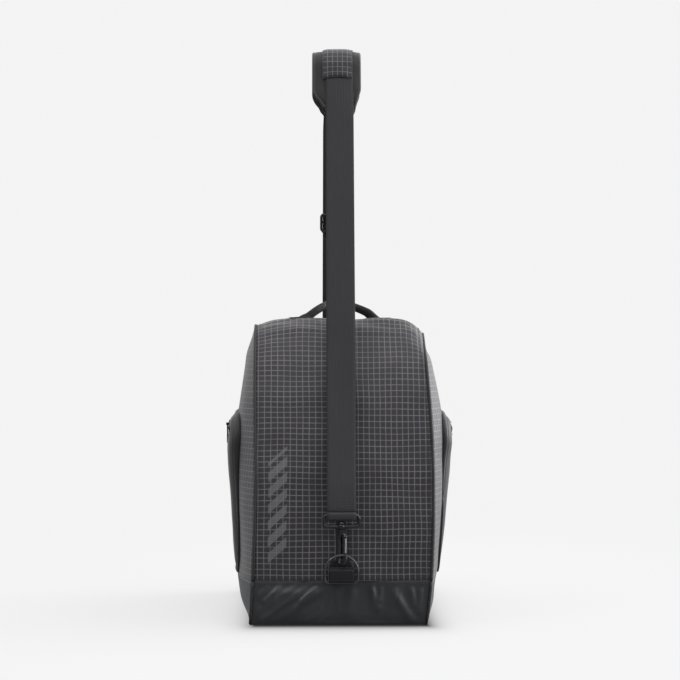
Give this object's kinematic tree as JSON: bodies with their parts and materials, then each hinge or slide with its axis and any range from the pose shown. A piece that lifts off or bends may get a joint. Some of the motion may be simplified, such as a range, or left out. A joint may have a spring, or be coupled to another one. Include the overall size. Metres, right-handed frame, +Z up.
{
  "type": "ski boot bag",
  "caption": "Boxy soft boot bag with tarpaulin base, grid cloth ends, side pockets, carry handles and a padded clip-on shoulder strap held upright.",
  "frame": {"origin": "centre of the base, on the floor", "axes": "+Z up; the ends with the strap hooks face -Y and +Y; the pockets face -X and +X"},
  "size_m": [0.32, 0.447, 0.778],
  "materials": {
    "grid_cloth": "ripstop grid cloth, satin",
    "side_cloth": "smooth polyester, soft sheen",
    "tarpaulin": "coated tarpaulin, satin, creased",
    "pocket_cloth": "smooth dark polyester",
    "piping": "corded piping",
    "webbing": "ribbed polyester webbing",
    "black_webbing": "black webbing",
    "padding": "padded black cloth",
    "mesh": "spacer mesh",
    "zip": "coil zip",
    "slider": "black painted zinc",
    "pull_tab": "moulded rubber-like plastic",
    "hardware": "black painted zinc, worn edges",
    "gate_steel": "plated steel",
    "adjuster_plastic": "moulded acetal",
    "board": "polyethylene board"
  },
  "bodies": {
    "tub": {"base_panel": "tarpaulin", "base_board": "board", "front_tarp_band": "tarpaulin", "rear_tarp_band": "tarpaulin", "left_tarp_band": "tarpaulin", "right_tarp_band": "tarpaulin", "left_base_piping": "piping", "right_base_piping": "piping", "front_dring_tab": "black_webbing", "rear_dring_tab": "black_webbing"},
    "left_half": {"left_side_panel": "side_cloth", "left_gusset": "grid_cloth", "left_piping": "piping", "left_main_zip": "zip", "left_pocket_gusset": "pocket_cloth", "left_pocket_face": "pocket_cloth", "left_pocket_zip": "zip", "left_handle_anchors": "black_webbing"},
    "right_half": {"right_side_panel": "side_cloth", "right_gusset": "grid_cloth", "right_piping": "piping", "right_main_zip": "zip", "right_pocket_gusset": "pocket_cloth", "right_pocket_face": "pocket_cloth", "right_pocket_zip": "zip", "right_handle_anchors": "black_webbing"},
    "left_handle": {"left_handle": "black_webbing"},
    "right_handle": {"right_handle": "black_webbing"},
    "front_main_slider": {"front_main_slider": "slider"},
    "front_main_pull": {"front_main_pull": "pull_tab"},
    "rear_main_slider": {"rear_main_slider": "slider"},
    "rear_main_pull": {"rear_main_pull": "pull_tab"},
    "left_pocket_slider": {"left_pocket_slider": "slider"},
    "left_pocket_pull": {"left_pocket_pull": "pull_tab"},
    "right_pocket_slider": {"right_pocket_slider": "slider"},
    "right_pocket_pull": {"right_pocket_pull": "pull_tab"},
    "strap": {"strap_webbing": "webbing", "strap_return": "webbing", "pad_sleeve": "grid_cloth", "pad_foam": "padding", "pad_backing": "mesh", "front_hook_loop": "hardware", "rear_hook_loop": "hardware"},
    "adjuster": {"strap_adjuster": "adjuster_plastic"},
    "front_hook": {"front_hook": "hardware", "front_gate_pin": "gate_steel"},
    "front_gate": {"front_gate": "gate_steel"},
    "front_dring": {"front_dring": "hardware"},
    "rear_hook": {"rear_hook": "hardware", "rear_gate_pin": "gate_steel"},
    "rear_gate": {"rear_gate": "gate_steel"},
    "rear_dring": {"rear_dring": "hardware"}
  },
  "joints": [
    {"name": "left_open", "type": "hinge", "parent": "tub", "child": "left_half", "pos_m": [-0.147, 0, 0.058], "axis": [0, -1, 0], "range_deg": [0, 30]},
    {"name": "left_handle_fold", "type": "hinge", "parent": "left_half", "child": "left_handle", "pos_m": [-0.055, 0, 0.407], "axis": [0, -1, 0], "range_deg": [0, 130]},
    {"name": "right_open", "type": "hinge", "parent": "tub", "child": "right_half", "pos_m": [0.147, 0, 0.058], "axis": [0, 1, 0], "range_deg": [0, 30]},
    {"name": "right_handle_fold", "type": "hinge", "parent": "right_half", "child": "right_handle", "pos_m": [0.055, 0, 0.407], "axis": [0, 1, 0], "range_deg": [0, 130]},
    {"name": "front_main_slide", "type": "slide", "parent": "left_half", "child": "front_main_slider", "axis": [0, -1, 0], "range_m": [0, 0.07]},
    {"name": "front_main_pull_swing", "type": "hinge", "parent": "front_main_slider", "child": "front_main_pull", "pos_m": [0, -0.009, 0.4068], "axis": [-1, 0, 0], "range_deg": [0, 150]},
    {"name": "rear_main_slide", "type": "slide", "parent": "left_half", "child": "rear_main_slider", "axis": [0, 1, 0], "range_m": [0, 0.07]},
    {"name": "rear_main_pull_swing", "type": "hinge", "parent": "rear_main_slider", "child": "rear_main_pull", "pos_m": [0, 0.009, 0.4068], "axis": [1, 0, 0], "range_deg": [0, 150]},
    {"name": "left_pocket_slide", "type": "hinge", "parent": "left_half", "child": "left_pocket_slider", "pos_m": [1.4462, 0, 0.252], "axis": [0, 0, 1], "range_deg": [0, 6.4]},
    {"name": "left_pocket_pull_swing", "type": "hinge", "parent": "left_pocket_slider", "child": "left_pocket_pull", "pos_m": [-0.15805, 0.09038, 0.252], "axis": [0.0562, 0.9984, 0], "range_deg": [0, 120]},
    {"name": "right_pocket_slide", "type": "hinge", "parent": "right_half", "child": "right_pocket_slider", "pos_m": [-1.4462, 0, 0.252], "axis": [0, 0, -1], "range_deg": [0, 6.4]},
    {"name": "right_pocket_pull_swing", "type": "hinge", "parent": "right_pocket_slider", "child": "right_pocket_pull", "pos_m": [0.15805, 0.09038, 0.252], "axis": [0.0562, -0.9984, 0], "range_deg": [0, 120]},
    {"name": "strap_swing", "type": "hinge", "parent": "tub", "child": "strap", "pos_m": [0, 0, 0.068], "axis": [0, 1, 0], "range_deg": [-12, 12]},
    {"name": "adjuster_slide", "type": "slide", "parent": "strap", "child": "adjuster", "axis": [0, -0.2907, 0.9568], "range_m": [-0.15, 0.12]},
    {"name": "front_hook_swivel", "type": "hinge", "parent": "strap", "child": "front_hook", "pos_m": [0, -0.212, 0.13], "axis": [0, 0, -1], "range_deg": [0, 75]},
    {"name": "front_gate_swing", "type": "hinge", "parent": "front_hook", "child": "front_gate", "pos_m": [0.00505, -0.21846, 0.118], "axis": [0.788, 0.6157, 0], "range_deg": [0, 22], "stiffness_Nm_per_rad": 0.02, "springref_deg": -11.46},
    {"name": "front_dring_tilt", "type": "hinge", "parent": "tub", "child": "front_dring", "pos_m": [0, -0.212, 0.0575], "axis": [1, 0, 0], "range_deg": [0, 2]},
    {"name": "rear_hook_swivel", "type": "hinge", "parent": "strap", "child": "rear_hook", "pos_m": [0, 0.212, 0.13], "axis": [0, 0, 1], "range_deg": [0, 75]},
    {"name": "rear_gate_swing", "type": "hinge", "parent": "rear_hook", "child": "rear_gate", "pos_m": [0.00505, 0.21846, 0.118], "axis": [-0.788, 0.6157, 0], "range_deg": [0, 22], "stiffness_Nm_per_rad": 0.02, "springref_deg": -11.46},
    {"name": "rear_dring_tilt", "type": "hinge", "parent": "tub", "child": "rear_dring", "pos_m": [0, 0.212, 0.0575], "axis": [1, 0, 0], "range_deg": [-2, 0]}
  ]
}
